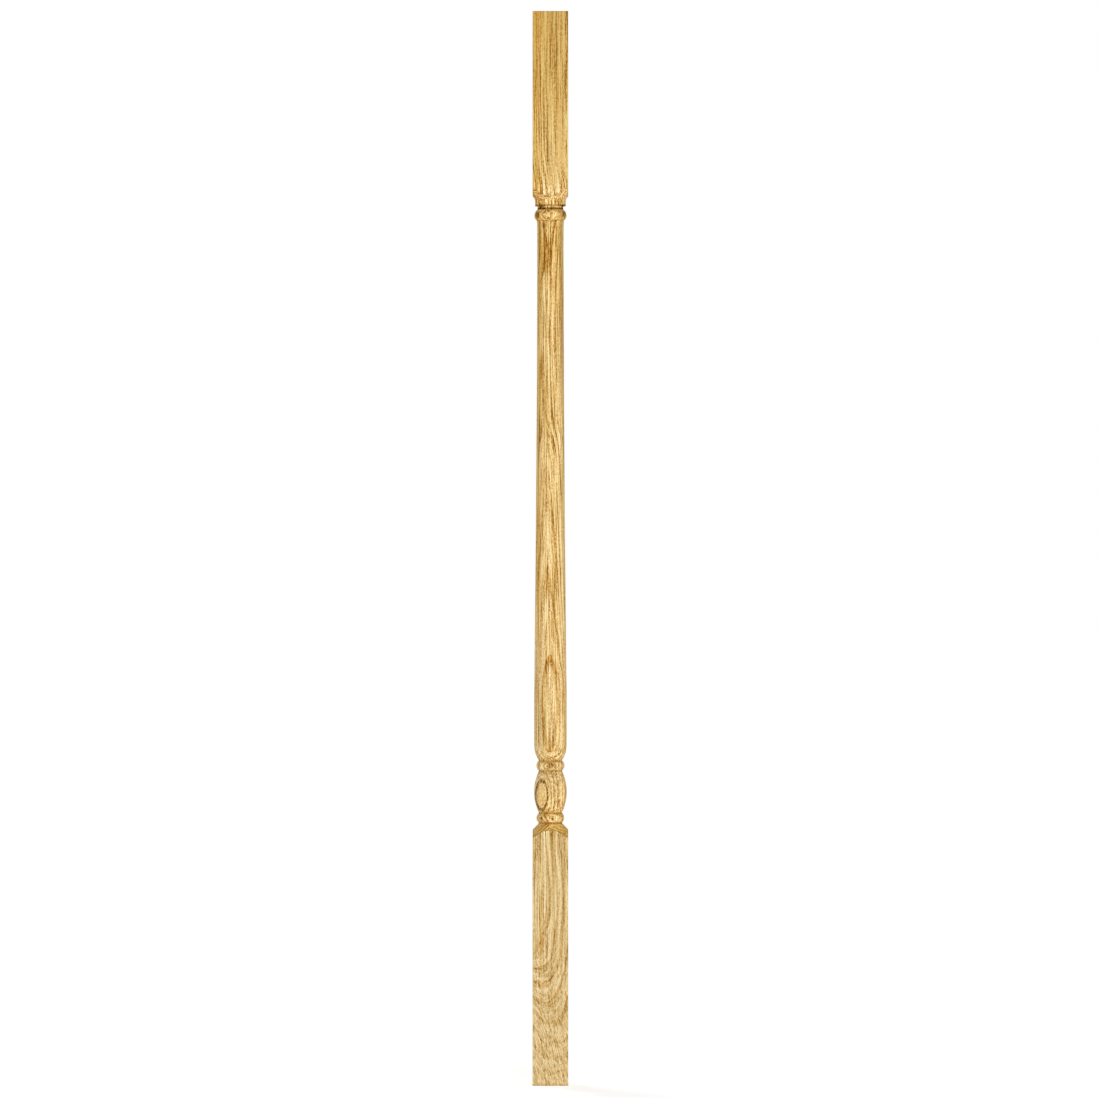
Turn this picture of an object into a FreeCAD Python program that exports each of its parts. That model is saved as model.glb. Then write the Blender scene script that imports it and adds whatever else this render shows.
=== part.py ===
import FreeCAD, Part
import math
import os

# A stair baluster: one stick of oak, left square at both ends and turned on a lathe between them.
# It stands upright on its foot, with its axis on Z and its sawn foot at Z = 0. Sizes are in millimetres.

# The stick that it is turned from
OVERALL_LENGTH = 965.0
SQUARE_SIDE = 32.0
ARRIS_RADIUS = 0.8

# The square blocks, each from its sawn end to the narrow end of its shoulder's cone
LOWER_BLOCK_LENGTH = 235.5
UPPER_BLOCK_LENGTH = 168.0

# The shoulders, the cones that cut round arches into the flat faces of the blocks
SHOULDER_ANGLE = 43.0  # degrees from the axis
COVE_REACH = 1.55  # how far the hollow at the upper cone's narrow end runs along the collar and the cone

# The quirks, narrow V grooves that part the shoulder, the two small beads, the vase and the shaft
QUIRK_DIAMETER = 20.7

# The small beads and the vase between them, which stand proud of the quirks
LOWER_BEAD_HEIGHT = 9.0
LOWER_BEAD_PROJECTION = 2.2
VASE_HEIGHT = 38.0
VASE_PROJECTION = 4.35
MIDDLE_BEAD_HEIGHT = 9.1
MIDDLE_BEAD_PROJECTION = 2.4

# The shaft: a rounded foot, a straight belly, a long hollow flank, a slim neck and a slight flare
SHAFT_FOOT_HEIGHT = 15.0
SHAFT_FOOT_HOLD = 0.62  # share of the foot's height over which it already runs in with the belly
BELLY_HEIGHT = 45.4
BELLY_DIAMETER = 29.4
FLANK_HOLLOW = 0.55  # how deep the flank dips below a straight taper from belly to neck
NECK_DIAMETER = 23.65
FLARE_HEIGHT = 20.0
FLARE_DIAMETER = 24.15

# The top bead, which sits on the flare, and the sunk groove and the collar above it
TOP_BEAD_HEIGHT = 9.8
TOP_BEAD_PROJECTION = 2.4
GROOVE_HEIGHT = 3.4
GROOVE_DEPTH = 2.25
COLLAR_HEIGHT = 6.4
COLLAR_DIAMETER = 27.7

# How far the lathe's cut starts outside the stick's corners
TOOL_CLEARANCE = 3.0


def on_profile(radius, height):
    """A point of the turned profile, which is drawn in the half plane where Y is 0 and X is the radius."""
    return FreeCAD.Vector(radius, 0, height)


def straight(start, end):
    return Part.LineSegment(start, end).toShape()


def curve(*poles):
    """A smooth run that leaves its first pole and reaches its last along the lines to their neighbours."""
    bezier = Part.BezierCurve()
    bezier.setPoles(list(poles))
    return bezier.toShape()


def swelling(radius, projection, low, high):
    """A bead or a vase: one arc of a circle that swells out of a narrower stem at both ends."""
    widest = on_profile(radius + projection, (low + high) / 2)
    return Part.Arc(on_profile(radius, low), widest, on_profile(radius, high)).toShape()


def square_stick():
    """The stick before turning, with its four long edges eased."""
    half = SQUARE_SIDE / 2
    stick = Part.makeBox(SQUARE_SIDE, SQUARE_SIDE, OVERALL_LENGTH, FreeCAD.Vector(-half, -half, 0))
    long_edges = [edge for edge in stick.Edges if edge.BoundBox.ZLength > SQUARE_SIDE]
    return stick.makeFillet(ARRIS_RADIUS, long_edges)


def lower_turning(outside):
    """The profile from the lower shoulder to the quirk on top of the middle bead."""
    quirk = QUIRK_DIAMETER / 2
    shoulder_top = LOWER_BLOCK_LENGTH
    shoulder_foot = shoulder_top - (outside - quirk) / math.tan(math.radians(SHOULDER_ANGLE))
    lower_bead_top = shoulder_top + LOWER_BEAD_HEIGHT
    vase_top = lower_bead_top + VASE_HEIGHT
    middle_bead_top = vase_top + MIDDLE_BEAD_HEIGHT
    return [
        straight(on_profile(outside, shoulder_foot), on_profile(quirk, shoulder_top)),
        swelling(quirk, LOWER_BEAD_PROJECTION, shoulder_top, lower_bead_top),
        swelling(quirk, VASE_PROJECTION, lower_bead_top, vase_top),
        swelling(quirk, MIDDLE_BEAD_PROJECTION, vase_top, middle_bead_top),
    ]


def shaft_turning(low, high):
    """The profile of the shaft, from its rounded foot at low to its flare at high."""
    quirk = QUIRK_DIAMETER / 2
    belly = BELLY_DIAMETER / 2
    neck = NECK_DIAMETER / 2
    flare = FLARE_DIAMETER / 2
    belly_foot = low + SHAFT_FOOT_HEIGHT
    belly_top = belly_foot + BELLY_HEIGHT
    neck_top = high - FLARE_HEIGHT
    mid_flank = on_profile((belly + neck) / 2 - FLANK_HOLLOW, (belly_top + neck_top) / 2)
    return [
        curve(
            on_profile(quirk, low),
            on_profile(belly, belly_foot - SHAFT_FOOT_HOLD * SHAFT_FOOT_HEIGHT),
            on_profile(belly, belly_foot),
        ),
        straight(on_profile(belly, belly_foot), on_profile(belly, belly_top)),
        Part.Arc(on_profile(belly, belly_top), mid_flank, on_profile(neck, neck_top)).toShape(),
        curve(
            on_profile(neck, neck_top),
            on_profile(neck, neck_top + FLARE_HEIGHT / 2),
            on_profile(flare, high),
        ),
    ]


def upper_turning(low, outside):
    """The profile from the top bead, which starts at low, to the upper shoulder."""
    flare = FLARE_DIAMETER / 2
    collar = COLLAR_DIAMETER / 2
    groove = collar - GROOVE_DEPTH
    bead_top = low + TOP_BEAD_HEIGHT
    groove_top = bead_top + GROOVE_HEIGHT
    collar_top = groove_top + COLLAR_HEIGHT
    slope = math.radians(SHOULDER_ANGLE)
    shoulder_top = collar_top + (outside - collar) / math.tan(slope)
    cove_start = on_profile(collar, collar_top - COVE_REACH)
    cove_end = on_profile(collar + COVE_REACH * math.sin(slope), collar_top + COVE_REACH * math.cos(slope))
    return [
        swelling(flare, TOP_BEAD_PROJECTION, low, bead_top),
        straight(on_profile(flare, bead_top), on_profile(groove, bead_top)),
        straight(on_profile(groove, bead_top), on_profile(groove, groove_top)),
        straight(on_profile(groove, groove_top), on_profile(collar, groove_top)),
        straight(on_profile(collar, groove_top), cove_start),
        curve(cove_start, on_profile(collar, collar_top), cove_end),
        straight(cove_end, on_profile(outside, shoulder_top)),
    ]


def turned_waste():
    """The ring of wood that the lathe takes off, between the turned profile and a circle round the stick."""
    outside = SQUARE_SIDE / math.sqrt(2) + TOOL_CLEARANCE
    shaft_low = LOWER_BLOCK_LENGTH + LOWER_BEAD_HEIGHT + VASE_HEIGHT + MIDDLE_BEAD_HEIGHT
    shaft_high = OVERALL_LENGTH - UPPER_BLOCK_LENGTH - COLLAR_HEIGHT - GROOVE_HEIGHT - TOP_BEAD_HEIGHT
    cut = lower_turning(outside) + shaft_turning(shaft_low, shaft_high) + upper_turning(shaft_high, outside)
    outer_side = straight(cut[-1].Vertexes[-1].Point, cut[0].Vertexes[0].Point)
    section = Part.Face(Part.Wire(cut + [outer_side]))
    return section.revolve(FreeCAD.Vector(0, 0, 0), FreeCAD.Vector(0, 0, 1), 360)


os.makedirs("parts", exist_ok=True)
baluster = square_stick().cut(turned_waste()).Solids[0]
baluster.exportStep("parts/baluster.step")
print(f"baluster: valid {baluster.isValid()}, volume {baluster.Volume:.0f} mm3")
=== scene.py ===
import math

import bmesh
import bpy
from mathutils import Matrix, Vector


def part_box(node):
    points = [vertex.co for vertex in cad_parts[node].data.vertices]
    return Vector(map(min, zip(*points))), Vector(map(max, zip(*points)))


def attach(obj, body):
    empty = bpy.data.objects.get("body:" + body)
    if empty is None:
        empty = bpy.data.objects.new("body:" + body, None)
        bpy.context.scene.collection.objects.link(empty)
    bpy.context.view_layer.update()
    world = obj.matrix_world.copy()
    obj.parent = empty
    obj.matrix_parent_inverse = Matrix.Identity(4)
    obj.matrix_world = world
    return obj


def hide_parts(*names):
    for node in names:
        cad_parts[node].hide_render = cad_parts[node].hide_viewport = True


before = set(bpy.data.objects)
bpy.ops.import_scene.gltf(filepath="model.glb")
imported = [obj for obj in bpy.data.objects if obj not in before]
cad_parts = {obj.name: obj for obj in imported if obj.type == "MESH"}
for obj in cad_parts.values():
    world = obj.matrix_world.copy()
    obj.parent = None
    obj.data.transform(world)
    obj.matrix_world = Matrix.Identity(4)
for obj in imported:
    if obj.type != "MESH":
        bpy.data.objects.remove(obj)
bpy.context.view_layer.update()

# A turned oak stair baluster, stood on white and seen square on from the front, which is -Y.
# Sizes are in millimetres. The stick's own length and side come from the CAD part.

MM = 0.001
STICK_LOW, STICK_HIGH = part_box("baluster")
LENGTH = (STICK_HIGH.z - STICK_LOW.z) / MM
SIDE = (STICK_HIGH.x - STICK_LOW.x) / MM

# The square blocks, each from its sawn end to the narrow end of its shoulder's cone
LOWER_BLOCK = 235.5
UPPER_BLOCK = 168.0
ARRIS = 0.8  # radius of the stick's four long edges
SAWN_RIM = 0.3  # how far the rims of the sawn ends are eased
CREASE = 0.5  # how far the edge where a shoulder meets a flat face is eased
SHOULDER_ANGLE = math.radians(43.0)  # of the shoulders' cones, from the axis
COVE = 1.55  # reach of the hollow under the upper shoulder

# The quirks, and the beads and the vase that stand proud of them
QUIRK = 20.7 / 2
LOWER_BEAD, LOWER_BEAD_PROUD = 9.0, 2.2
VASE, VASE_PROUD = 38.0, 4.35
MIDDLE_BEAD, MIDDLE_BEAD_PROUD = 9.1, 2.4

# The shaft: its rounded foot, its straight belly, its hollow flank and its flare
FOOT, FOOT_HOLD = 15.0, 0.62
BELLY, BELLY_RADIUS = 45.4, 29.4 / 2
FLANK_HOLLOW = 0.55
NECK_RADIUS = 23.65 / 2
FLARE, FLARE_RADIUS = 20.0, 24.15 / 2

# The top bead, the sunk groove and the collar
TOP_BEAD, TOP_BEAD_PROUD = 9.8, 2.4
COLLAR, COLLAR_RADIUS = 6.4, 27.7 / 2
GROOVE, GROOVE_RADIUS = 3.4, COLLAR_RADIUS - 2.25
GROOVE_LIP = 0.25  # how far the upper lip of the groove is eased

# Heights up the stick that follow from these
LOWER_BEAD_TOP = LOWER_BLOCK + LOWER_BEAD
VASE_TOP = LOWER_BEAD_TOP + VASE
SHAFT_LOW = VASE_TOP + MIDDLE_BEAD
BELLY_LOW = SHAFT_LOW + FOOT
BELLY_TOP = BELLY_LOW + BELLY
COLLAR_TOP = LENGTH - UPPER_BLOCK
GROOVE_TOP = COLLAR_TOP - COLLAR
TOP_BEAD_TOP = GROOVE_TOP - GROOVE
SHAFT_TOP = TOP_BEAD_TOP - TOP_BEAD
NECK_TOP = SHAFT_TOP - FLARE

# How finely the stick's skin is cut up
FLAT_STEPS = 44
ARRIS_STEPS = 6
EDGE_BAND = 2.0  # how far from a sawn end or a crease the next row of points lies

# Where the photograph, a square picture, shows the stick, in pixels
PHOTO_SIDE = 1098
HEAD_ROW = 10.95
FOOT_ROW = 1085.83
AXIS_COLUMN = 550.4
CAMERA_REACH = 5500.0  # from the camera to the front faces of the blocks
SIGHT_LIMIT = 200.0  # how far the camera sees, in metres


def put_in(name, data):
    """Puts a mesh, a lamp or a camera into the scene, as an object of that name."""
    thing = bpy.data.objects.new(name, data)
    bpy.context.scene.collection.objects.link(thing)
    return thing


# The skin, drawn as a profile of (radius, height) points that grows upwards

def straight(profile, end, steps):
    """Carries the profile on in a straight line."""
    radius, height = profile[-1]
    for step in range(1, steps + 1):
        share = step / steps
        profile.append((radius + (end[0] - radius) * share, height + (end[1] - height) * share))


def bend(profile, corner, end, steps):
    """Carries the profile on round a corner, which it cuts smoothly."""
    start = profile[-1]
    for step in range(1, steps + 1):
        after = step / steps
        before = 1 - after
        profile.append(tuple(
            before * before * a + 2 * before * after * b + after * after * c
            for a, b, c in zip(start, corner, end)
        ))


def arc(profile, through, end, steps):
    """Carries the profile on along the circle through two more points."""
    (ax, ay), (bx, by), (cx, cy) = profile[-1], through, end
    twice = 2 * (ax * (by - cy) + bx * (cy - ay) + cx * (ay - by))
    a, b, c = ax * ax + ay * ay, bx * bx + by * by, cx * cx + cy * cy
    x = (a * (by - cy) + b * (cy - ay) + c * (ay - by)) / twice
    y = (a * (cx - bx) + b * (ax - cx) + c * (bx - ax)) / twice
    radius = math.hypot(ax - x, ay - y)
    first = math.atan2(ay - y, ax - x)
    sweep = math.remainder(math.atan2(cy - y, cx - x) - first, math.tau)
    for step in range(1, steps + 1):
        angle = first + sweep * step / steps
        profile.append((x + radius * math.cos(angle), y + radius * math.sin(angle)))


def swell(profile, tall, proud, steps):
    """Carries the profile on over a bead or a vase."""
    radius, height = profile[-1]
    arc(profile, (radius + proud, height + tall / 2), (radius, height + tall), steps)


def lower_block(reach):
    """The profile from the sawn foot to the first quirk, where the skin is that far from the axis."""
    crease = LOWER_BLOCK - (reach - QUIRK) / math.tan(SHOULDER_ANGLE)
    past_crease = (reach - CREASE * math.sin(SHOULDER_ANGLE), crease + CREASE * math.cos(SHOULDER_ANGLE))
    profile = [(reach - SAWN_RIM, 0.0)]
    bend(profile, (reach, 0.0), (reach, SAWN_RIM), steps=2)
    straight(profile, (reach, EDGE_BAND), steps=1)
    straight(profile, (reach, crease - EDGE_BAND), steps=24)
    straight(profile, (reach, crease - CREASE), steps=1)
    bend(profile, (reach, crease), past_crease, steps=4)
    straight(profile, (QUIRK, LOWER_BLOCK), steps=10)
    return profile


def turn_middle(profile):
    """Carries the profile on from the first quirk to the hollow under the upper shoulder."""
    swell(profile, LOWER_BEAD, LOWER_BEAD_PROUD, steps=14)
    swell(profile, VASE, VASE_PROUD, steps=32)
    swell(profile, MIDDLE_BEAD, MIDDLE_BEAD_PROUD, steps=14)
    bend(profile, (BELLY_RADIUS, BELLY_LOW - FOOT_HOLD * FOOT), (BELLY_RADIUS, BELLY_LOW), steps=16)
    straight(profile, (BELLY_RADIUS, BELLY_TOP), steps=8)
    mid_flank = ((BELLY_RADIUS + NECK_RADIUS) / 2 - FLANK_HOLLOW, (BELLY_TOP + NECK_TOP) / 2)
    arc(profile, mid_flank, (NECK_RADIUS, NECK_TOP), steps=60)
    bend(profile, (NECK_RADIUS, NECK_TOP + FLARE / 2), (FLARE_RADIUS, SHAFT_TOP), steps=8)
    swell(profile, TOP_BEAD, TOP_BEAD_PROUD, steps=16)
    straight(profile, (GROOVE_RADIUS, TOP_BEAD_TOP), steps=1)
    straight(profile, (GROOVE_RADIUS, GROOVE_TOP), steps=4)
    straight(profile, (COLLAR_RADIUS - GROOVE_LIP, GROOVE_TOP), steps=3)
    bend(profile, (COLLAR_RADIUS, GROOVE_TOP), (COLLAR_RADIUS, GROOVE_TOP + GROOVE_LIP), steps=3)
    straight(profile, (COLLAR_RADIUS, COLLAR_TOP - COVE), steps=5)
    cove_end = (
        COLLAR_RADIUS + COVE * math.sin(SHOULDER_ANGLE),
        COLLAR_TOP + COVE * math.cos(SHOULDER_ANGLE),
    )
    bend(profile, (COLLAR_RADIUS, COLLAR_TOP), cove_end, steps=5)


def upper_block(profile, reach):
    """Carries the profile on over the upper shoulder to the sawn head."""
    crease = COLLAR_TOP + (reach - COLLAR_RADIUS) / math.tan(SHOULDER_ANGLE)
    before_crease = (reach - CREASE * math.sin(SHOULDER_ANGLE), crease - CREASE * math.cos(SHOULDER_ANGLE))
    straight(profile, before_crease, steps=8)
    bend(profile, (reach, crease), (reach, crease + CREASE), steps=4)
    straight(profile, (reach, crease + EDGE_BAND), steps=1)
    straight(profile, (reach, LENGTH - EDGE_BAND), steps=20)
    straight(profile, (reach, LENGTH - SAWN_RIM), steps=1)
    bend(profile, (reach, LENGTH), (reach - SAWN_RIM, LENGTH), steps=2)


def stick_outline():
    """Directions round the stick, with the skin's distance from the axis: four flats and four arrises."""
    flat = SIDE / 2
    arris_centre = flat - ARRIS
    outline = []
    for quarter in range(4):
        spots = []
        for step in range(FLAT_STEPS):
            spots.append((flat, arris_centre * (2 * step / FLAT_STEPS - 1)))
        for step in range(ARRIS_STEPS):
            angle = math.pi / 2 * step / ARRIS_STEPS
            spots.append((arris_centre + ARRIS * math.cos(angle), arris_centre + ARRIS * math.sin(angle)))
        for x, y in spots:
            outline.append((math.atan2(y, x) + quarter * math.pi / 2, math.hypot(x, y)))
    return outline


def skin_column(direction, reach):
    """The skin's points up the stick in one direction from the axis, in metres."""
    profile = lower_block(reach)
    turn_middle(profile)
    upper_block(profile, reach)
    return [
        (radius * math.cos(direction) * MM, radius * math.sin(direction) * MM, height * MM)
        for radius, height in profile
    ]


def build_baluster():
    """The whole stick as one closed skin, with its two sawn ends."""
    shape = bmesh.new()
    columns = [
        [shape.verts.new(point) for point in skin_column(direction, reach)]
        for direction, reach in stick_outline()
    ]
    for left, right in zip(columns, columns[1:] + columns[:1]):
        for row in range(len(left) - 1):
            shape.faces.new((left[row], right[row], right[row + 1], left[row + 1])).smooth = True
    shape.faces.new([column[0] for column in reversed(columns)])
    shape.faces.new([column[-1] for column in columns])
    lay_out(shape, len(columns), len(columns[0]))
    mesh = bpy.data.meshes.new("baluster_skin")
    shape.to_mesh(mesh)
    shape.free()
    return put_in("baluster_skin", mesh)


# How the skin is laid out flat: three lengths of it side by side, with the sawn ends above them
STRIPS = 3
STRIP_MARGIN = 0.01
STRIP_HEIGHT = 0.87
END_PATCH = 0.09
END_SPACING = 0.1


def lay_out(shape, column_count, row_count):
    """Lays the skin out flat for pictures of its finish."""
    flat_map = shape.loops.layers.uv.new("OFBake")
    strip_length = LENGTH * MM / STRIPS
    sides = [face for face in shape.faces if len(face.verts) == 4]
    for place, face in enumerate(sides):
        column = place // (row_count - 1)
        strip = min(int(face.calc_center_median().z / strip_length), STRIPS - 1)
        for loop, ahead in zip(face.loops, (0, 1, 1, 0)):
            round_share = (column + ahead) / column_count
            up_share = loop.vert.co.z / strip_length - strip
            loop[flat_map].uv = (
                (strip + STRIP_MARGIN + (1 - 2 * STRIP_MARGIN) * round_share) / STRIPS,
                STRIP_MARGIN + STRIP_HEIGHT * up_share,
            )
    ends = [face for face in shape.faces if len(face.verts) > 4]
    for place, face in enumerate(ends):
        for loop in face.loops:
            across = loop.vert.co.x / (SIDE * MM) + 0.5
            deep = loop.vert.co.y / (SIDE * MM) + 0.5
            loop[flat_map].uv = (END_SPACING * place + END_PATCH * across, 1 - END_PATCH * (1 - deep))


# Finishes

class Shade:
    """A value over a surface: one output of a node tree, which sums and further nodes build on."""

    def __init__(self, tree, socket=None):
        self.tree = tree
        self.socket = socket

    def node(self, kind, settings=None, values=None, output=0):
        """Adds a node with its settings and its sockets' values or links, and gives one of its outputs."""
        made = self.tree.nodes.new(kind)
        for name, setting in (settings or {}).items():
            if name == "stops":
                fill_ramp(made.color_ramp, setting)
            elif name == "course":
                fill_curve(made.mapping, setting)
            else:
                setattr(made, name, setting)
        for name, value in (values or {}).items():
            if isinstance(value, Shade):
                self.tree.links.new(value.socket, made.inputs[name])
            else:
                made.inputs[name].default_value = value
        return Shade(self.tree, made.outputs[output] if made.outputs else None)

    def math(self, operation, *terms):
        return self.node("ShaderNodeMath", {"operation": operation}, dict(enumerate(terms)))

    def __add__(self, other):
        return self.math("ADD", self, other)

    def __radd__(self, other):
        return self.math("ADD", other, self)

    def __sub__(self, other):
        return self.math("SUBTRACT", self, other)

    def __rsub__(self, other):
        return self.math("SUBTRACT", other, self)

    def __mul__(self, other):
        return self.math("MULTIPLY", self, other)

    def __rmul__(self, other):
        return self.math("MULTIPLY", other, self)

    def __truediv__(self, other):
        return self.math("DIVIDE", self, other)

    def __rtruediv__(self, other):
        return self.math("DIVIDE", other, self)

    def __abs__(self):
        return self.math("ABSOLUTE", self)


def fill_ramp(ramp, stops):
    """Sets a ramp's stops, each a place from 0 to 1 and a colour."""
    while len(ramp.elements) < len(stops):
        ramp.elements.new(1.0)
    for element, (place, tone) in zip(ramp.elements, stops):
        element.position = place
        element.color = tone


def fill_curve(mapping, course):
    """Sets a curve's points, each a place from 0 to 1 and a height from 0 to 1."""
    points = mapping.curves[0].points
    while len(points) < len(course):
        points.new(1.0, 1.0)
    for point, (place, height) in zip(points, course):
        point.location = (place, height)
        point.handle_type = "AUTO_CLAMPED"
    mapping.update()


def bare_tree(owner):
    """The node tree of a new material or world, with nothing in it."""
    owner.use_nodes = True
    owner.node_tree.nodes.clear()
    return Shade(owner.node_tree)


def colour(red, green, blue):
    """A colour that is written as a screen shows it, from 0 to 255, as Blender's light."""
    def light(level):
        level /= 255
        return level / 12.92 if level <= 0.04045 else ((level + 0.055) / 1.055) ** 2.4
    return (light(red), light(green), light(blue), 1.0)


def grey(level):
    return (level, level, level, 1.0)


def parts(vector, axes="XYZ"):
    """A vector's parts along some of its axes."""
    return [vector.node("ShaderNodeSeparateXYZ", None, {0: vector}, axis) for axis in axes]


def along_stick(height, stations):
    """A value that runs smoothly through stations, each a height up the stick and the value there."""
    least = min(value for place, value in stations)
    span = max(value for place, value in stations) - least
    course = [(place / LENGTH, (value - least) / span) for place, value in sorted(stations)]
    return height.node("ShaderNodeFloatCurve", {"course": course}, {"Value": height / LENGTH}) * span + least


def mottle(place, flecks):
    """Random mottling from 0 to 1, in flecks that are given as (width, length, seed, detail)."""
    width, length, seed, detail = flecks
    fit = {0: place, 1: (1 / width, 1 / width, 1 / length), 2: (seed, seed, seed)}
    scaled = place.node("ShaderNodeVectorMath", {"operation": "MULTIPLY_ADD"}, fit)
    return place.node("ShaderNodeTexNoise", None, {"Vector": scaled, "Scale": 1.0, "Detail": detail})


def uneven(place, flecks):
    """The same mottling, from -0.5 to 0.5."""
    return mottle(place, flecks) - 0.5


def rise(value, low, high):
    """0 below low and 1 above high, or the other way round, with a smooth step between."""
    limits = {"Value": value, "From Min": low, "From Max": high}
    return value.node("ShaderNodeMapRange", {"interpolation_type": "SMOOTHSTEP"}, limits)


# Which of a mixing node's sockets are the ones for colours
MIX_FIRST, MIX_SECOND, MIX_RESULT = 6, 7, 2


def stain_and_shade(tone, share, tint):
    """The tone, multiplied by a tint as far as share says; the tints are the wood's own colours and painted
    shade.
    """
    settings = {"data_type": "RGBA", "blend_type": "MULTIPLY", "clamp_factor": True}
    values = {"Factor": share, MIX_FIRST: tone, MIX_SECOND: tint}
    return tone.node("ShaderNodeMix", settings, values, MIX_RESULT)


# The oak's growth: the pith runs up behind the stick, at this reach from the axis
PITH_REACH = 45.0
RING_WIDTH = 2.5

# Which way the rings face, as (height, degrees to the right of the front)
RING_FACING = (
    (0, -6), (38, -4), (58, -1), (76, 5), (95, 11), (107, 16), (126, 21), (155, 21), (200, 27), (225, 32),
    (244, 0), (263, -36), (290, -2), (310, 4), (345, 5), (388, -4), (460, -14), (560, -16), (606, -33),
    (655, -38), (700, -29), (730, -18), (755, -7), (777, -5), (787, 5), (797, -10), (805, -34), (845, -29),
    (965, -28),
)

# How far out from the ring of year 0 the axis lies, as (height, millimetres)
RING_DEPTH = (
    (0, 24.0), (26, 18.9), (38, 16.5), (58, 13.8), (76, 11.6), (95, 9.5), (107, 8.1), (121, 6.9),
    (138, 6.3), (150, 5.6), (165, 5.4), (200, 6.3), (225, 7.4), (248, 7.3), (262, 6.5), (277, 7.2),
    (290, 8.0), (300, 8.4), (313, 9.5), (345, 9.8), (388, 8.2), (463, 6.5), (500, 5.6), (560, 4.8),
    (604, 3.1), (655, 2.8), (700, 1.9), (722, 1.5), (745, 0.95), (777, 1.6), (787, 2.6), (805, 2.2),
    (845, -0.1), (965, -0.4),
)

# How the rings swerve, as flecks and how far in millimetres
BROAD_SWERVE, BROAD_SWERVE_REACH = (14, 110, 3.1, 1.0), 1.2
FINE_SWERVE, FINE_SWERVE_REACH = (3, 22, 7.7, 1.0), 0.4

STEP = 0.3  # how far apart the places are from which the rings' run is told
LEAST_RUN = 0.0001  # keeps the square of the rings' run off zero


def grown(place):
    """The year in which the tree grew the wood at a place in the stick, with its part of a year."""
    x, y, z = parts(place)
    facing = along_stick(z, RING_FACING) * math.radians(1)
    from_pith_x = x + x.math("SINE", facing) * PITH_REACH
    from_pith_y = y - y.math("COSINE", facing) * PITH_REACH
    from_pith = x.math("SQRT", from_pith_x * from_pith_x + from_pith_y * from_pith_y)
    broad = uneven(place, BROAD_SWERVE) * BROAD_SWERVE_REACH
    fine = uneven(place, FINE_SWERVE) * FINE_SWERVE_REACH
    return (from_pith - PITH_REACH + along_stick(z, RING_DEPTH) + (broad + fine)) / RING_WIDTH


def moved(place, step):
    return place.node("ShaderNodeVectorMath", {"operation": "ADD"}, {0: place, 1: step})


def years_across(place, normal, years):
    """How many years pass in a millimetre across the surface."""
    steps = ((STEP, 0, 0), (0, STEP, 0), (0, 0, STEP))
    runs = [(grown(moved(place, step)) - years) / STEP for step in steps]
    growth = place.node("ShaderNodeCombineXYZ", None, dict(enumerate(runs)))
    whole = place.node("ShaderNodeVectorMath", {"operation": "LENGTH"}, {0: growth}, "Value")
    both = {0: growth, 1: normal}
    inward = place.node("ShaderNodeVectorMath", {"operation": "DOT_PRODUCT"}, both, "Value")
    return place.math("SQRT", place.math("MAXIMUM", whole * whole - inward * inward, LEAST_RUN))


# Ovals on the front, where a ring is cut nearly flat, as (across, height, half width, half height).
# How far they reach is given as shares of the way out, with 1 on an oval's outline.
EYE = (-7.9, 260.7, 5.3, 13.0)  # on the vase, with a thin dark outline
EYE_RIM = (0.9, 1.3)
EGG = (-0.3, 343.0, 7.3, 43.0)  # on the belly, with a porous outline
EGG_RIM = (0.8, 1.0)
SADDLE = (-4.5, 746.0, 4.5, 15.0)  # under the top bead, porous all over
SADDLE_RIM = (1.2, 0.7)
FRONT_EDGE = (-2.0, 0.0)  # between which two depths along Y the ovals end
FAR_OUT = 10.0  # what is added to the share behind them


def oval_share(place, oval):
    """How far out of an oval a place on the front is, with 1 on its outline, and far out at the back."""
    across, height, half_width, half_height = oval
    x, y, z = parts(place)
    x, z = (x - across) / half_width, (z - height) / half_height
    return place.math("SQRT", x * x + z * z) + rise(y, *FRONT_EDGE) * FAR_OUT


# How far a year's growth is porous, from its open start to the dense wood before the next
POROUS = (
    (0.0, grey(0.9)), (0.08, grey(0.9)), (0.2, grey(0.55)), (0.36, grey(0.0)), (0.92, grey(0.0)),
    (0.99, grey(0.6)),
)

# How strongly the rings' porous bands show, as (height, share)
BAND_STRENGTH = (
    (0, 0.25), (40, 0.4), (70, 0.75), (100, 0.8), (150, 0.65), (225, 0.5), (240, 0.5), (250, 0.2),
    (277, 0.2), (285, 0.6), (300, 0.7), (380, 0.75), (500, 0.7), (700, 0.8), (777, 1.0), (800, 0.8),
    (825, 0.4), (965, 0.4),
)

# The egg's porous outline, which lies between two steps, and how porous it and the saddle are
EGG_EDGE_INSIDE, EGG_EDGE_OUTSIDE = (0.70, 0.88), (1.06, 1.0)
EGG_EDGE_SHARE = 0.7
SADDLE_SHARE = 0.6


def porous_wood(z, year_part, egg, saddle):
    """How porous the wood is, from 0 to 1: in the rings' bands, on the egg's outline and in the saddle."""
    bands = z.node("ShaderNodeValToRGB", {"stops": POROUS}, {0: year_part}) * along_stick(z, BAND_STRENGTH)
    egg_edge = rise(egg, *EGG_EDGE_INSIDE) * rise(egg, *EGG_EDGE_OUTSIDE)
    in_saddle = rise(saddle, *SADDLE_RIM)
    porous = bands * rise(egg, *EGG_RIM) + egg_edge * EGG_EDGE_SHARE + in_saddle * SADDLE_SHARE
    return z.math("MINIMUM", porous, 1.0)


# The dark lines at the years' starts, which are broken into dashes
RING_LINE = 0.75  # how far a line spreads to each side on the surface
DASHES, DASH_LIMITS = (0.9, 2.4, 6.1, 0.0), (0.35, 0.6)

# How strongly these lines show, as (height, share)
RING_LINE_STRENGTH = (
    (0, 0.0), (100, 0.2), (225, 0.3), (240, 1.0), (285, 1.0), (300, 0.8), (500, 0.6), (700, 0.7),
    (777, 1.0), (800, 0.9), (825, 0.4), (965, 0.3),
)

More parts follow.
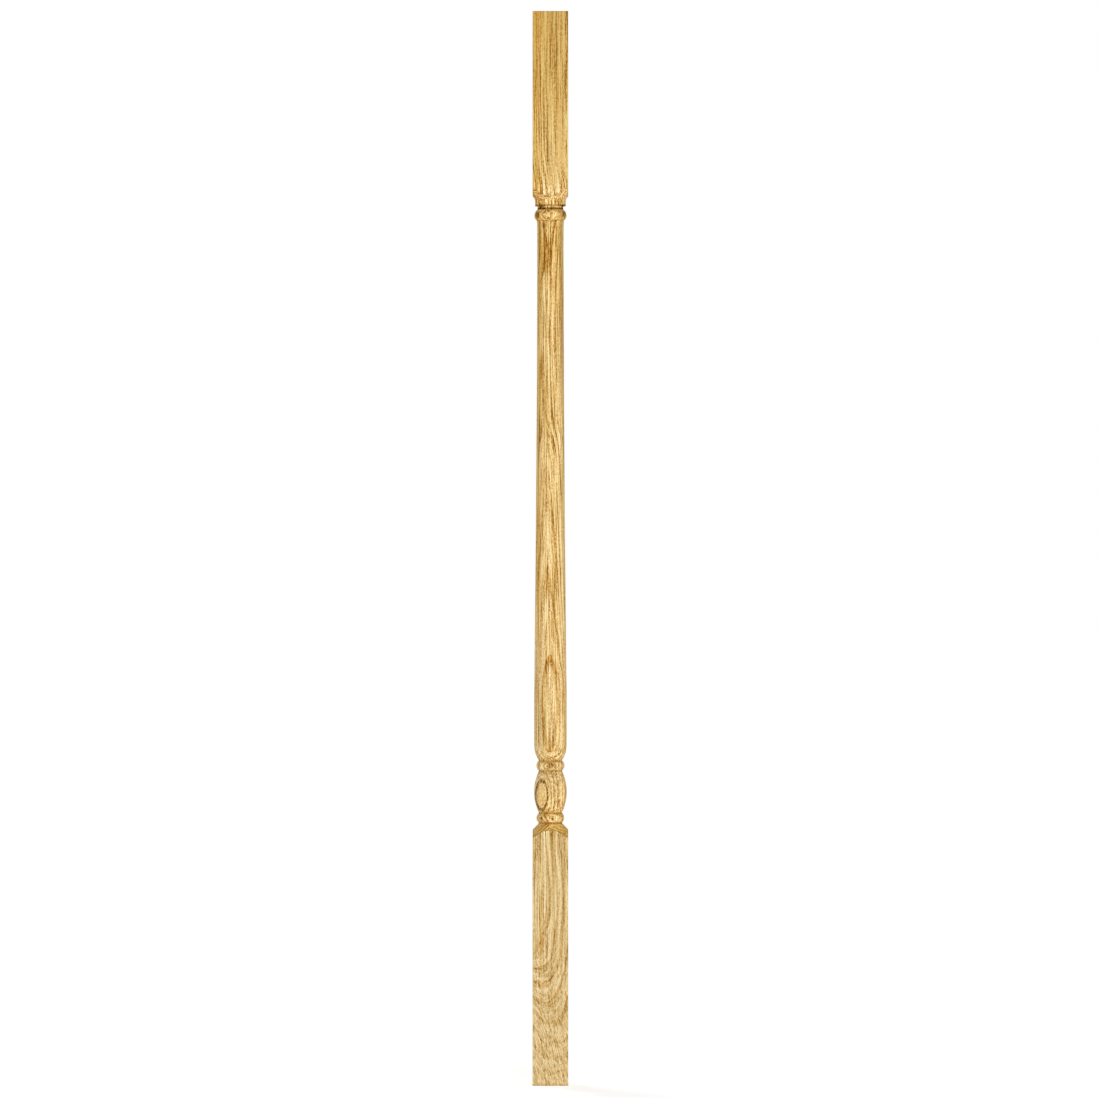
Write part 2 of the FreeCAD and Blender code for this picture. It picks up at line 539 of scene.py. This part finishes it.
# The eye's outline and the rings round it, as (share of the way out to its outline, how dark)
EYE_RINGS = ((1.0, 1.1), (1.65, 0.65), (2.25, 0.65), (2.85, 0.65))
EYE_LINE = 1.0  # how far the eye's line spreads to each side
EYE_CORE = EYE_LINE / 3  # how far it is fully dark
EYE_DASHES = 0.7  # how much of it is broken into dashes
EYE_FADE = 2.0  # how far from the vase's ends the rings fade out


def ring_lines(z, year_part, across, dashes):
    """The dark lines where the years start."""
    from_start = z.math("MINIMUM", year_part, 1.0 - year_part) / across
    return rise(from_start, RING_LINE, 0.0) * dashes * along_stick(z, RING_LINE_STRENGTH)


def eye_lines(z, eye, dashes):
    """The dark outline of the eye on the vase, and the rings round it."""
    half_width = EYE[2]
    on_vase = rise(abs(z - (LOWER_BEAD_TOP + VASE / 2)), VASE / 2, VASE / 2 - EYE_FADE)
    lines = [rise(abs(eye - out) * half_width, EYE_LINE, EYE_CORE) * share for out, share in EYE_RINGS]
    return sum(lines) * (dashes * EYE_DASHES + (1 - EYE_DASHES)) * on_vase


# Layers in the rings: coarse ones where many years pass in a millimetre, and close ones where few do,
# as how many there are in a year and between how many years in a millimetre they set in
LAYER_STRETCH = (0.17, 0.17, 0.01)  # how fast they change in a millimetre along X, Y and Z
COARSE_LAYERS, COARSE_FROM = 6.0, (0.10, 0.20)
CLOSE_LAYERS, CLOSE_FROM = 16.0, (0.03, 0.07)
CLOSE_SHIFT = 7.0  # years by which the close layers are shifted

# How much of the fine lines follow the rings, as (height, share)
LAYER_STRENGTH = (
    (0, 0.45), (40, 0.6), (70, 0.95), (100, 1.2), (225, 1.5), (240, 1.0), (285, 1.0), (310, 0.5),
    (380, 0.9), (463, 1.6), (765, 1.6), (780, 0.8), (800, 0.8), (815, 1.6), (965, 1.6),
)

# Fibres that run straight up the stick, as flecks, and their part in the fine lines, as (height, share)
FIBRES = (0.7, 35, 4.2, 0.0)
FIBRE_STRENGTH = ((0, 0.2), (70, 0.4), (130, 1.8), (965, 1.8))
FIBRE_LOSS = 0.4  # how much they give way to the layers

# Short hairs that lean to the left, as flecks, and their part in the fine lines, as (height, share)
HAIRS = (0.65, 7.0, 7.3, 0.0)
HAIR_STRENGTH = ((0, 1.4), (40, 1.3), (70, 1.0), (110, 0.6), (150, 0.3), (225, 0.0), (965, 0.0))
HAIR_LEAN = 0.25  # how far they lean in a millimetre up the stick

# Flecks all over, and broad streaks that set in between two heights
FLECKS, FLECK_SHARE = (0.7, 1.6, 1.3, 0.0), 0.75
STREAKS, STREAK_SHARE = (2.4, 120, 2.4, 1.0), 0.2
STREAK_START = (30.0, 100.0)
RING_LINE_SHARE = 0.3  # how much the dark lines at the years' starts take away

# How strongly the fine lines show, as (height, share), and how much weaker in a year's dense part
LINE_STRENGTH = (
    (0, 0.75), (90, 0.75), (130, 0.7), (220, 0.72), (230, 1.3), (245, 1.2), (285, 1.1), (320, 1.0),
    (700, 1.1), (777, 1.2), (797, 1.6), (815, 0.9), (965, 0.85),
)
POROUS_CONTRAST = 1.15
DENSE_PART, DENSE_LOSS = (0.25, 0.5), 0.3

# The calm wood in the eye and the egg, with weaker fibres and a paler tone
EYE_CALM = (1.0, 0.7)
EGG_CALM, EGG_CALM_SHARE = (0.9, 0.5), 0.4
CALM_LOSS = 0.5
CALM_LIGHT = 0.08


def layers(place, years, per_year):
    """Random layers in the growth, from -0.5 to 0.5, which last some way along and round the stick."""
    stretched = place.node("ShaderNodeVectorMath", {"operation": "MULTIPLY"}, {0: place, 1: LAYER_STRETCH})
    values = {"Vector": stretched, "W": years * per_year, "Scale": 1.0, "Detail": 0.0}
    return place.node("ShaderNodeTexNoise", {"noise_dimensions": "4D"}, values) - 0.5


def fine_lines(place, years, across, eye, egg, ring_line):
    """The fine lines of the grain, from 0 for the darkest to 1 for the palest."""
    x, y, z = parts(place)
    outside = rise(eye, *EYE_RIM) * rise(egg, *EGG_RIM)
    calm = z.math("MAXIMUM", rise(eye, *EYE_CALM), rise(egg, *EGG_CALM) * EGG_CALM_SHARE)
    coarse = rise(across, *COARSE_FROM)
    close = rise(across, *CLOSE_FROM) - coarse
    coarse_layer = layers(place, years, COARSE_LAYERS) * coarse
    close_layer = layers(place, years + CLOSE_SHIFT, CLOSE_LAYERS) * close
    layer = (coarse_layer + close_layer) * along_stick(z, LAYER_STRENGTH) * outside
    fibre = uneven(place, FIBRES) * (1.0 - (coarse + close) * FIBRE_LOSS)
    fibre = fibre * along_stick(z, FIBRE_STRENGTH) * (1.0 - calm * CALM_LOSS)
    leaning = z.node("ShaderNodeCombineXYZ", None, {0: x + z * HAIR_LEAN, 1: y, 2: z})
    hair = uneven(leaning, HAIRS) * along_stick(z, HAIR_STRENGTH)
    fleck = uneven(place, FLECKS)
    streak = uneven(place, STREAKS) * rise(z, *STREAK_START)
    lines = layer + fibre + hair + fleck * FLECK_SHARE + streak * STREAK_SHARE
    lines = lines - ring_line * outside * RING_LINE_SHARE
    dense = rise(years.math("FRACT", years), *DENSE_PART)
    lines = lines * along_stick(z, LINE_STRENGTH) * (POROUS_CONTRAST - dense * DENSE_LOSS)
    return lines + 0.5 + calm * CALM_LIGHT


# The oak's colours: its fine lines from dark to pale, and the tints that multiply them
LINE_TONES = (
    (0.0, colour(140, 96, 30)), (0.25, colour(194, 150, 78)), (0.5, colour(235, 198, 134)),
    (0.75, colour(255, 224, 164)), (1.0, colour(255, 240, 190)),
)
POROUS_TINT = (0.83, 0.68, 0.42, 1.0)
PORE_TINT = (0.50, 0.38, 0.20, 1.0)
ORANGE_TINT = (0.86, 0.70, 0.42, 1.0)
OLIVE_TINT = (0.80, 0.80, 0.55, 1.0)
# the left side's orange, partly painted shade
ORANGE_AND_SHADE_SIDE_TINT = (0.95, 0.82, 0.50, 1.0)
# the cut fibres' colour on upward-facing slopes, partly painted shade
CUT_AND_SHADE_TINT = (1.05, 0.83, 0.24, 1.0)
SAWN_TINT = (0.84, 0.78, 0.72, 1.0)
# painted shade on the turning's sides
PAINTED_SIDE_SHADE_TINT = (0.84, 0.85, 0.74, 1.0)
# painted shade in the quirks, along the arches and under the collar's lip, and the darker sawn foot rim
SHADE_AND_RIM_TINT = (0.46, 0.33, 0.14, 1.0)
# the eye's dark outline, and dark spots, some of them painted shade
SPOT_AND_SHADE_TINT = (0.24, 0.14, 0.04, 1.0)
# painted shade in the groove
GROOVE_SHADE_TINT = (0.16, 0.09, 0.02, 1.0)

# How the stick's colour changes up its length, as (share of the length, tint)
HEIGHT_TINTS = (
    (0.0, (0.83, 0.89, 1.02, 1.0)), (0.23, (0.87, 0.93, 1.07, 1.0)), (0.247, (0.98, 0.96, 0.88, 1.0)),
    (0.27, (1.0, 1.0, 0.98, 1.0)), (0.31, (0.98, 1.03, 1.13, 1.0)), (0.40, (1.0, 1.03, 1.12, 1.0)),
    (0.47, (1.0, 1.02, 1.05, 1.0)), (0.70, (1.0, 1.02, 1.04, 1.0)), (0.79, (0.90, 0.86, 0.68, 1.0)),
    (0.81, (1.0, 0.98, 0.88, 1.0)), (0.823, (1.0, 0.98, 0.88, 1.0)), (0.831, (1.02, 1.04, 1.08, 1.0)),
    (0.845, (0.86, 0.85, 0.75, 1.0)), (0.93, (0.775, 0.73, 0.54, 1.0)), (1.0, (0.70, 0.63, 0.42, 1.0)),
)

# The open pores in the porous wood, and bands of orange and of olive, which sets in between two heights
PORES, PORE_LIMITS, PORE_SHARE = (0.7, 3.0, 8.8, 0.0), (0.5, 0.66), 0.8
ORANGE, ORANGE_LIMITS, ORANGE_SHARE = (3.5, 120, 5.5, 1.0), (0.5, 0.70), 0.5
OLIVE, OLIVE_LIMITS, OLIVE_SHARE = (2.2, 160, 9.4, 1.0), (0.52, 0.70), 0.5
OLIVE_START = (50.0, 130.0)

# The orange side of the stick, on the left of the front, partly the wood's colour and partly painted shade,
# as (height, share)
ORANGE_AND_SHADE_SIDE = ((0, 0.0), (300, 0.0), (385, 0.1), (450, 0.7), (777, 1.0), (830, 0.5), (965, 0.5))
ORANGE_AND_SHADE_SIDE_EDGE = (-6.0, -12.0)


def wood_tone(place, lines, porous):
    """The wood's colour from its fine lines, its porous wood, its bands, its orange side, which is partly
    painted shade, and its height up the stick.
    """
    x, z = parts(place, "XZ")
    pores = rise(mottle(place, PORES), *PORE_LIMITS) * porous
    orange = rise(mottle(place, ORANGE), *ORANGE_LIMITS)
    olive = rise(mottle(place, OLIVE), *OLIVE_LIMITS) * rise(z, *OLIVE_START)
    # the left side's orange colour, partly painted shade
    orange_and_shade_side = rise(x, *ORANGE_AND_SHADE_SIDE_EDGE) * along_stick(z, ORANGE_AND_SHADE_SIDE)
    height_tint = z.node("ShaderNodeValToRGB", {"stops": HEIGHT_TINTS}, {0: z / LENGTH})
    tone = place.node("ShaderNodeValToRGB", {"stops": LINE_TONES}, {0: lines})
    tone = stain_and_shade(tone, porous, POROUS_TINT)
    tone = stain_and_shade(tone, pores * PORE_SHARE, PORE_TINT)
    tone = stain_and_shade(tone, orange * ORANGE_SHARE, ORANGE_TINT)
    tone = stain_and_shade(tone, olive * OLIVE_SHARE, OLIVE_TINT)
    tone = stain_and_shade(tone, orange_and_shade_side, ORANGE_AND_SHADE_SIDE_TINT)
    return stain_and_shade(tone, 1.0, height_tint)


# Fibres that are cut across, by how far up the turning's slopes face, or up or down the sawn ends; on the
# upward slopes their tint is partly painted shade
CUT_AND_SHADE_FACING, CUT_AND_SHADE_SHARE = (0.45, 0.7), 0.6
SAWN_FACING = (0.8, 1.0)

# Painted shade on the sides of the turning, as (height, share), and how far sideways they face
PAINTED_SIDE_SHADE_SHARE = (
    (0, 0.0), (300, 0.0), (360, 0.1), (480, 0.5), (600, 0.9), (780, 1.0), (790, 0.6), (799, 0.0),
    (965, 0.0),
)
PAINTED_SIDE_SHADE_FACING = (0.6, 0.92)

# Painted shade along the arches where the shoulders meet the flat faces, by how far out they lie and how far
# up or down they face
ARCH_SHADE_NEAR = (SIDE / 2 - 1.2, SIDE / 2 - 0.2)
ARCH_SHADE_FACING = (0.2, 0.5)
ARCH_SHADE_SHARE = 0.6


def stain_and_shade_by_facing(tone, place, normal, sawn):
    """Tints the wood by the way that it faces: on slopes, partly painted shade, on sawn ends, and with
    painted shade on the turning's sides and the arches.
    """
    x, y, z = parts(place)
    sideways, upward = parts(normal, "XZ")
    # the cut fibres' colour on upward-facing surfaces, partly painted shade
    slope = rise(upward, *CUT_AND_SHADE_FACING) * CUT_AND_SHADE_SHARE * (1.0 - sawn)
    # painted shade on the turning's sides, by how far sideways they face
    side_shade = rise(abs(sideways), *PAINTED_SIDE_SHADE_FACING) * along_stick(z, PAINTED_SIDE_SHADE_SHARE)
    near_face = rise(z.math("MAXIMUM", abs(x), abs(y)), *ARCH_SHADE_NEAR)
    # painted shade in the creases along the arches
    arch = near_face * rise(abs(upward), *ARCH_SHADE_FACING) * (1.0 - sawn)
    tone = stain_and_shade(tone, slope, CUT_AND_SHADE_TINT)
    tone = stain_and_shade(tone, sawn, SAWN_TINT)
    tone = stain_and_shade(tone, side_shade, PAINTED_SIDE_SHADE_TINT)
    return stain_and_shade(tone, arch * ARCH_SHADE_SHARE, SHADE_AND_RIM_TINT)


# painted shadow under the collar's lower lip, and painted shade in the groove
LIP_SHADE = GROOVE_TOP + 0.5  # height of the dark line on the collar's lower lip
GROOVE_SHADE = TOP_BEAD_TOP + 1.0  # height of the groove's darkest line
GROOVE_SHADE_REACH = (1.2, 0.2)

# Painted shade in the quirks and under the collar's lip, and a darker band at the sawn foot's rim, as
# (height, how far up and down, share)
QUIRK_SHADE_AND_FOOT_RIM = (
    (0.0, 2.4, 0.55), (LOWER_BLOCK, 1.6, 0.8), (LOWER_BEAD_TOP, 1.6, 0.65), (VASE_TOP, 1.6, 0.65),
    (SHAFT_LOW, 1.6, 0.6), (SHAFT_TOP, 1.3, 0.4), (LIP_SHADE, 1.1, 0.9),
)

# Dark spots and streaks on the front of the beads, the groove and the shaft, as (oval, share); some are the
# wood's marks, and those in the groove under the collar's lip, at the top bead's sides and down the right of
# the shaft are painted shade
DARK_SPOTS_AND_SHADE = (
    ((-8.2, 239.8, 1.2, 1.3), 0.8), ((2.2, 239.4, 1.0, 1.3), 0.8), ((-0.6, 240.6, 0.6, 1.8), 0.5),
    ((1.0, 288.0, 0.8, 2.4), 0.6), ((-6.2, 773.0, 1.6, 3.0), 0.6), ((4.0, 775.0, 0.6, 4.0), 0.5),
    ((-11.2, 782.3, 1.4, 3.0), 0.9), ((12.2, 783.2, 1.4, 3.0), 0.8), ((-8.2, 789.8, 1.8, 1.5), 0.9),
    ((11.6, 790.4, 1.8, 1.5), 0.9), ((9.2, 700.0, 1.3, 75.0), 0.26), ((6.0, 745.0, 0.7, 30.0), 0.26),
)
SPOT_RIM = (1.6, 0.4)


def paint_quirk_shade_and_spots(tone, place):
    """Darkens the quirks, the groove and the sawn foot's rim, and adds the dark spots; the quirks, the
    groove and some spots are painted shade.
    """
    z = parts(place, "Z")[0]
    # painted shade in the quirks and under the collar's lip, and the darker foot rim
    for height, reach, share in QUIRK_SHADE_AND_FOOT_RIM:
        tone = stain_and_shade(tone, rise(abs(z - height), reach, 0.0) * share, SHADE_AND_RIM_TINT)
    # dark spots, some of them painted shade
    for oval, share in DARK_SPOTS_AND_SHADE:
        tone = stain_and_shade(tone, rise(oval_share(place, oval), *SPOT_RIM) * share, SPOT_AND_SHADE_TINT)
    # painted shade in the groove
    return stain_and_shade(tone, rise(abs(z - GROOVE_SHADE), *GROOVE_SHADE_REACH), GROOVE_SHADE_TINT)


# The sanded surface: how rough it is, how much rougher where it is porous or sawn, its sheen and its relief
SANDED_ROUGHNESS = 0.55
POROUS_ROUGHNESS = 0.12
SAWN_ROUGHNESS = 0.35
SHEEN = 0.04
RELIEF, RELIEF_SHARE = 0.2, 0.2


def make_oak():
    """Bare sanded oak, with its rings, pores and streaks running through the whole stick, and painted shade
    in its hollows and on its sides.
    """
    material = bpy.data.materials.new("oak")
    tree = bare_tree(material)
    spot = tree.node("ShaderNodeTexCoord", output="Object")
    normal = tree.node("ShaderNodeTexCoord", output="Normal")
    place = tree.node("ShaderNodeVectorMath", {"operation": "SCALE"}, {"Vector": spot, "Scale": 1 / MM})
    z = parts(place, "Z")[0]
    upward = parts(normal, "Z")[0]
    sawn = rise(abs(upward), *SAWN_FACING)

    years = grown(place)
    year_part = tree.math("FRACT", years)
    across = years_across(place, normal, years)
    eye, egg, saddle = (oval_share(place, oval) for oval in (EYE, EGG, SADDLE))
    dashes = rise(mottle(place, DASHES), *DASH_LIMITS)
    porous = porous_wood(z, year_part, egg, saddle)
    lines = fine_lines(place, years, across, eye, egg, ring_lines(z, year_part, across, dashes))

    tone = wood_tone(place, lines, porous)
    # painted shade on the turning's sides and the arches, and partly on upward slopes
    tone = stain_and_shade_by_facing(tone, place, normal, sawn)
    tone = stain_and_shade(tone, eye_lines(z, eye, dashes), SPOT_AND_SHADE_TINT)
    # painted shade in the quirks, the groove and some dark spots, and the darker foot rim
    tone = paint_quirk_shade_and_spots(tone, place)

    roughness = SANDED_ROUGHNESS + porous * POROUS_ROUGHNESS + sawn * SAWN_ROUGHNESS
    relief = {"Strength": RELIEF_SHARE, "Distance": RELIEF * MM, "Height": lines}
    wood = tree.node("ShaderNodeBsdfPrincipled", None, {
        "Base Color": tone,
        "Roughness": roughness,
        "Specular IOR Level": SHEEN,
        "Normal": tree.node("ShaderNodeBump", None, relief, "Normal"),
    })
    tree.node("ShaderNodeOutputMaterial", None, {"Surface": wood})
    return material


# The stage: a white floor and white surroundings, which look brighter than the light that they give

ROOM_LIGHT, ROOM_SEEN = 0.25, 1.0
FLOOR_LIGHT, FLOOR_SEEN = 0.5, 0.64
FLOOR_COLOUR = grey(0.8)
FLOOR_SIDE = 60.0  # metres
WHITE = grey(1.0)

# The lamps, as (name, strength, the direction that the light comes from)
LAMPS = (
    ("front_lamp", 2.0, (0.15, -1.0, 0.12)),
    ("right_lamp", 0.35, (1.0, -0.1, 0.2)),
    ("back_lamp", 1.6, (-0.6, 1.0, 0.3)),
)
LAMP_SOFTNESS = math.radians(30)


def glow(tree, light, seen):
    """How bright a glow is: one level for the light that it gives, another where it is seen or mirrored."""
    rays = ("Is Camera Ray", "Is Glossy Ray", "Is Transmission Ray")
    direct, mirrored, through = (tree.node("ShaderNodeLightPath", output=ray) for ray in rays)
    return tree.math("MINIMUM", direct + mirrored + through, 1.0) * (seen - light) + light


def make_floor():
    """A white floor that keeps the stick's shadow."""
    material = bpy.data.materials.new("white_floor")
    tree = bare_tree(material)
    lit = tree.node("ShaderNodeBsdfDiffuse", None, {"Color": FLOOR_COLOUR})
    level = glow(tree, FLOOR_LIGHT, FLOOR_SEEN)
    glowing = tree.node("ShaderNodeEmission", None, {"Color": WHITE, "Strength": level})
    surface = tree.node("ShaderNodeAddShader", None, {0: lit, 1: glowing})
    tree.node("ShaderNodeOutputMaterial", None, {"Surface": surface})
    half = FLOOR_SIDE / 2
    corners = [(-half, -half, 0), (half, -half, 0), (half, half, 0), (-half, half, 0)]
    mesh = bpy.data.meshes.new("white_floor")
    mesh.from_pydata(corners, [], [(0, 1, 2, 3)])
    mesh.materials.append(material)
    return put_in("white_floor", mesh)


def hang_lamp(name, strength, direction):
    """A soft lamp, far off in that direction."""
    lamp = bpy.data.lights.new(name, "SUN")
    lamp.energy = strength
    lamp.angle = LAMP_SOFTNESS
    across, back, up = direction
    stand = put_in(name, lamp)
    stand.rotation_euler = (math.atan2(math.hypot(across, back), up), 0.0, math.atan2(across, -back))


def light_the_stage():
    """Even light from all round, and soft lamps."""
    world = bpy.data.worlds.new("white_room")
    bpy.context.scene.world = world
    tree = bare_tree(world)
    level = glow(tree, ROOM_LIGHT, ROOM_SEEN)
    light = tree.node("ShaderNodeBackground", None, {"Color": WHITE, "Strength": level})
    tree.node("ShaderNodeOutputWorld", None, {"Surface": light})
    for name, strength, direction in LAMPS:
        hang_lamp(name, strength, direction)


def place_camera():
    """A camera square on to the front, which sees the stick where the photograph shows it."""
    pixel = LENGTH / (FOOT_ROW - HEAD_ROW) * MM
    camera = bpy.data.cameras.new("camera")
    camera.lens = camera.sensor_width * CAMERA_REACH * MM / (PHOTO_SIDE * pixel)
    camera.clip_end = SIGHT_LIMIT
    stand = put_in("camera", camera)
    stand.location = (
        (PHOTO_SIDE / 2 - AXIS_COLUMN) * pixel,
        -(CAMERA_REACH + SIDE / 2) * MM,
        (FOOT_ROW - PHOTO_SIDE / 2) * pixel,
    )
    stand.rotation_euler = (math.pi / 2, 0.0, 0.0)
    bpy.context.scene.camera = stand


baluster = build_baluster()
baluster.data.materials.append(make_oak())
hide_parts("baluster")
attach(baluster, "root")

make_floor()
light_the_stage()
place_camera()
bpy.context.scene.view_settings.view_transform = "Standard"
